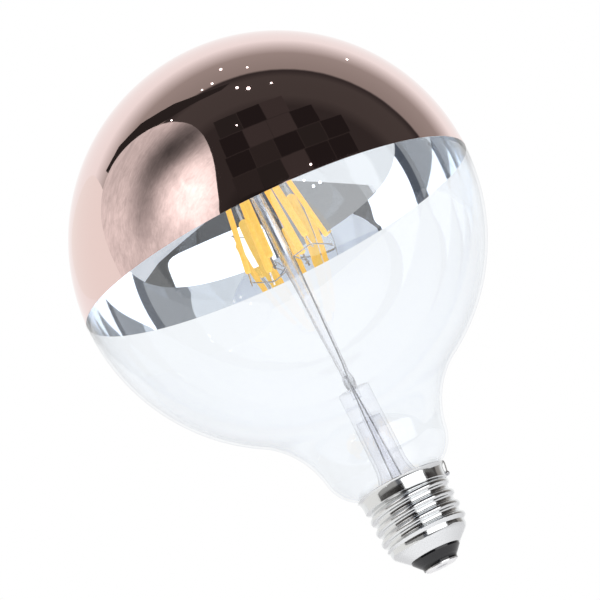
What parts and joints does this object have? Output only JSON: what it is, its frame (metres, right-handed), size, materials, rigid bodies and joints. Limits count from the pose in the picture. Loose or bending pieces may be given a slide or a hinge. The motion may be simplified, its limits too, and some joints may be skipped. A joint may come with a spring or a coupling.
{
  "type": "led globe bulb",
  "caption": "Large round lamp with a clear lower half, a mirrored upper half, light strips round a glass rod, and a screw cap.",
  "frame": {"origin": "middle of the centre contact's flat face, the lowest point of the bulb", "axes": "+Z from the cap up through the globe, -Y towards the side of the front lead wire"},
  "size_m": [0.125, 0.125, 0.172],
  "materials": {
    "clear_glass": "clear blown glass",
    "silver_film": "silver mirror",
    "rose_gold": "tinted lacquer over a mirror",
    "stem_glass": "clear drawn glass",
    "nickel_wire": "drawn nickel wire",
    "phosphor_silicone": "yellow phosphor in silicone",
    "pin_steel": "plated steel strip",
    "nickel_plate": "bright nickel plate",
    "black_glass": "opaque black glass",
    "contact_plate": "plated brass",
    "tin_solder": "dull tin",
    "tinned_wire": "tinned copper wire",
    "cement": "matt basing cement",
    "board_laminate": "white laminate",
    "capacitor_sleeve": "shrunk sleeve",
    "black_epoxy": "moulded epoxy",
    "resistor_lacquer": "green lacquer"
  },
  "bodies": {
    "root": {"glass_globe": "clear_glass", "silver_mirror_film": "silver_film", "rose_gold_lacquer": "rose_gold", "stem_flare": "stem_glass", "exhaust_tube": "stem_glass", "stem_rod": "stem_glass", "front_lead_wire": "nickel_wire", "rear_lead_wire": "nickel_wire", "front_contact_wire": "nickel_wire", "rear_contact_wire": "nickel_wire", "top_ring_wire": "nickel_wire", "ring_support_wires": "nickel_wire", "led_filament_1": "phosphor_silicone", "led_filament_2": "phosphor_silicone", "led_filament_3": "phosphor_silicone", "led_filament_4": "phosphor_silicone", "led_filament_5": "phosphor_silicone", "led_filament_6": "phosphor_silicone", "lower_filament_pins": "pin_steel", "upper_filament_pins": "pin_steel", "cap_shell": "nickel_plate", "cap_insulator": "black_glass", "centre_contact": "contact_plate", "contact_solder": "tin_solder", "side_solder": "tin_solder", "contact_lead_wire": "tinned_wire", "side_lead_wire": "tinned_wire", "basing_cement": "cement", "driver_board": "board_laminate", "smoothing_capacitor": "capacitor_sleeve", "bridge_rectifier": "black_epoxy", "driver_chip": "black_epoxy", "fusible_resistor": "resistor_lacquer"}
  },
  "joints": []
}
